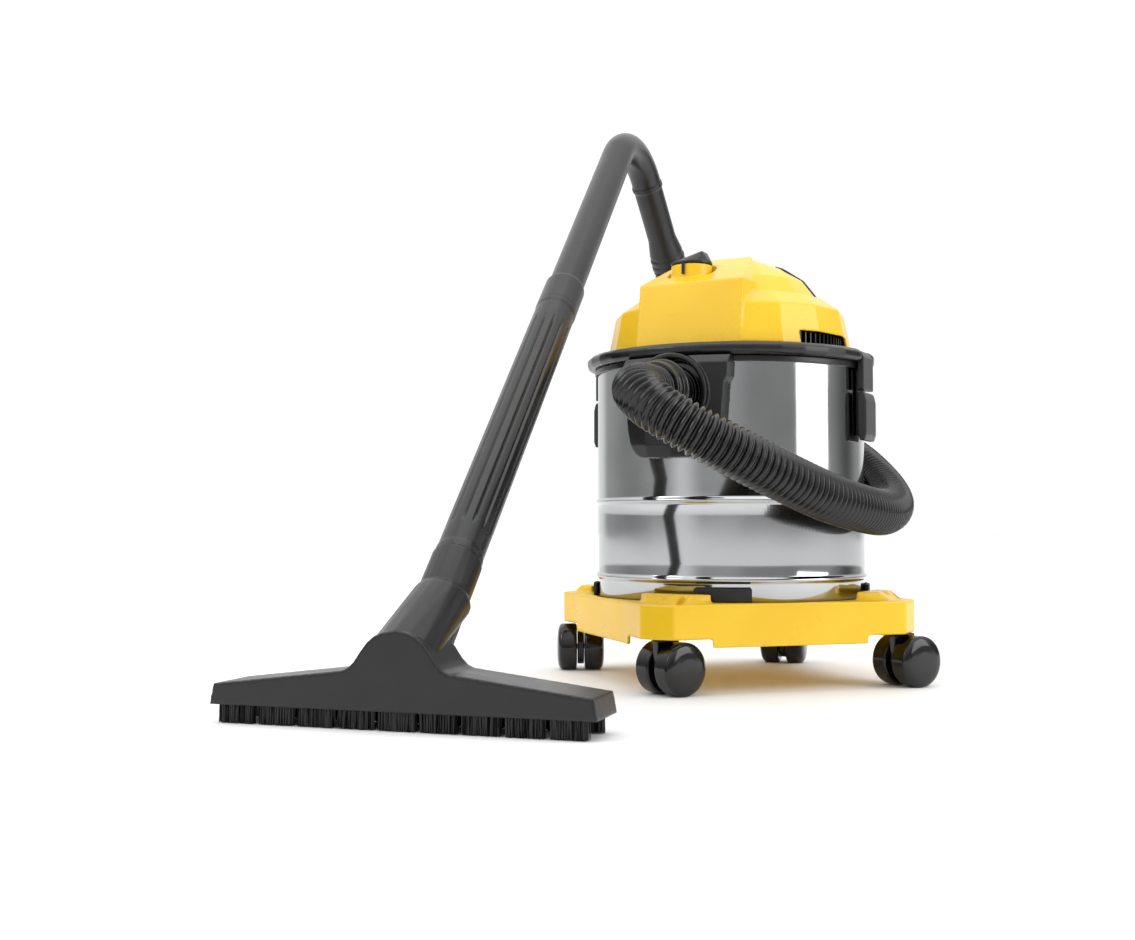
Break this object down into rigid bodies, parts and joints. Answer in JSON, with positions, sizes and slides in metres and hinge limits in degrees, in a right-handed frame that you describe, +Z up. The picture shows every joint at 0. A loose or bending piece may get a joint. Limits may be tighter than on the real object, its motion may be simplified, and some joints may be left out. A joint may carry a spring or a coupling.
{
  "type": "shop vacuum",
  "caption": "Wet-and-dry shop vacuum with a steel drum on a castered base, lift-off motor head, ribbed suction hose, bent wand and brushed floor nozzle.",
  "frame": {"origin": "on the floor, under the middle of everything but the hose and its cuff", "axes": "+Z up; -Y is the front, where the inlet, the switch and the nozzle face; +Y runs back along the wand; +X to the right"},
  "size_m": [0.476, 0.8889, 0.6438],
  "materials": {
    "yellow_plastic": "moulded ABS, satin gloss",
    "black_plastic": "moulded polypropylene, fine texture",
    "gloss_black_plastic": "polished ABS",
    "dark_grey_plastic": "extruded tube, satin",
    "hose_plastic": "ribbed flexible hose",
    "rubber": "moulded rubber, matt",
    "stainless_steel": "deep-drawn, bright polished",
    "zinc_steel": "zinc plated",
    "aluminium": "pressed sheet",
    "motor_case": "grey paint",
    "filter_paper": "pleated paper",
    "white_plastic": "moulded float",
    "bristle": "nylon bristle strip"
  },
  "bodies": {
    "drum_assembly": {"base_chassis": "yellow_plastic", "drum_buffer_1": "rubber", "drum_buffer_2": "rubber", "drum_buffer_3": "rubber", "drum_buffer_4": "rubber", "drum": "stainless_steel", "drum_rim": "black_plastic", "inlet_cowl": "black_plastic", "inlet_port": "gloss_black_plastic", "hose_connector": "gloss_black_plastic", "latch_bracket_right": "black_plastic", "latch_bracket_left": "black_plastic", "nozzle_body": "black_plastic", "brush_front": "bristle", "brush_rear": "bristle", "extension_tube": "dark_grey_plastic", "handle_tube": "dark_grey_plastic", "hose_cuff": "hose_plastic", "suction_hose": "hose_plastic"},
    "head": {"head_collar": "black_plastic", "head_gasket": "rubber", "head_cover": "yellow_plastic", "carry_grip_right": "rubber", "carry_grip_left": "rubber", "switch_body": "black_plastic", "exhaust_grille": "black_plastic", "motor_deck": "black_plastic", "fan_housing": "motor_case", "motor_body": "motor_case", "float_cage": "black_plastic", "filter_cartridge": "filter_paper", "filter_cap": "black_plastic"},
    "knob": {"switch_knob": "black_plastic"},
    "rotor": {"suction_fan": "aluminium", "motor_shaft": "zinc_steel"},
    "float_body": {"float": "white_plastic"},
    "latch_right": {"latch_lever_right": "dark_grey_plastic"},
    "latch_left": {"latch_lever_left": "dark_grey_plastic"},
    "caster_front_swivel": {"caster_front_hood": "gloss_black_plastic"},
    "caster_front_wheels": {"caster_front_axle": "zinc_steel", "caster_front_wheel_outer": "gloss_black_plastic", "caster_front_wheel_inner": "gloss_black_plastic"},
    "caster_right_swivel": {"caster_right_hood": "gloss_black_plastic"},
    "caster_right_wheels": {"caster_right_axle": "zinc_steel", "caster_right_wheel_outer": "gloss_black_plastic", "caster_right_wheel_inner": "gloss_black_plastic"},
    "caster_rear_swivel": {"caster_rear_hood": "gloss_black_plastic"},
    "caster_rear_wheels": {"caster_rear_axle": "zinc_steel", "caster_rear_wheel_outer": "gloss_black_plastic", "caster_rear_wheel_inner": "gloss_black_plastic"},
    "caster_left_swivel": {"caster_left_hood": "gloss_black_plastic"},
    "caster_left_wheels": {"caster_left_axle": "zinc_steel", "caster_left_wheel_outer": "gloss_black_plastic", "caster_left_wheel_inner": "gloss_black_plastic"}
  },
  "joints": [
    {"name": "head_lift", "type": "slide", "parent": "drum_assembly", "child": "head", "axis": [0, 0, 1], "range_m": [0, 0.15]},
    {"name": "switch_turn", "type": "hinge", "parent": "head", "child": "knob", "pos_m": [0.01257, 0.04875, 0.43], "axis": [0, 0, 1], "range_deg": [0, 90]},
    {"name": "fan_spin", "type": "hinge", "parent": "head", "child": "rotor", "pos_m": [0.02457, 0.12175, 0.35], "axis": [0, 0, 1], "continuous": true},
    {"name": "float_rise", "type": "slide", "parent": "head", "child": "float_body", "axis": [0, 0, 1], "range_m": [0, 0.026]},
    {"name": "latch_right_swing", "type": "hinge", "parent": "drum_assembly", "child": "latch_right", "pos_m": [0.16997, 0.12175, 0.287], "axis": [0, -1, 0], "range_deg": [0, 70]},
    {"name": "latch_left_swing", "type": "hinge", "parent": "drum_assembly", "child": "latch_left", "pos_m": [-0.12083, 0.12175, 0.287], "axis": [0, 1, 0], "range_deg": [0, 70]},
    {"name": "caster_front_turn", "type": "hinge", "parent": "drum_assembly", "child": "caster_front_swivel", "pos_m": [0.02457, -0.05425, 0.052], "axis": [0, 0, 1], "continuous": true},
    {"name": "caster_front_roll", "type": "hinge", "parent": "caster_front_swivel", "child": "caster_front_wheels", "pos_m": [0.0288, -0.04519, 0.025], "axis": [-0.9063, 0.4226, 0], "continuous": true},
    {"name": "caster_right_turn", "type": "hinge", "parent": "drum_assembly", "child": "caster_right_swivel", "pos_m": [0.20057, 0.12175, 0.052], "axis": [0, 0, 1], "continuous": true},
    {"name": "caster_right_roll", "type": "hinge", "parent": "caster_right_swivel", "child": "caster_right_wheels", "pos_m": [0.20587, 0.13023, 0.025], "axis": [-0.848, 0.5299, 0], "continuous": true},
    {"name": "caster_rear_turn", "type": "hinge", "parent": "drum_assembly", "child": "caster_rear_swivel", "pos_m": [0.02457, 0.29775, 0.052], "axis": [0, 0, 1], "continuous": true},
    {"name": "caster_rear_roll", "type": "hinge", "parent": "caster_rear_swivel", "child": "caster_rear_wheels", "pos_m": [0.02631, 0.2879, 0.025], "axis": [0.9848, 0.1736, 0], "continuous": true},
    {"name": "caster_left_turn", "type": "hinge", "parent": "drum_assembly", "child": "caster_left_swivel", "pos_m": [-0.15143, 0.12175, 0.052], "axis": [0, 0, 1], "continuous": true},
    {"name": "caster_left_roll", "type": "hinge", "parent": "caster_left_swivel", "child": "caster_left_wheels", "pos_m": [-0.14673, 0.11292, 0.025], "axis": [0.8829, 0.4695, 0], "continuous": true}
  ]
}
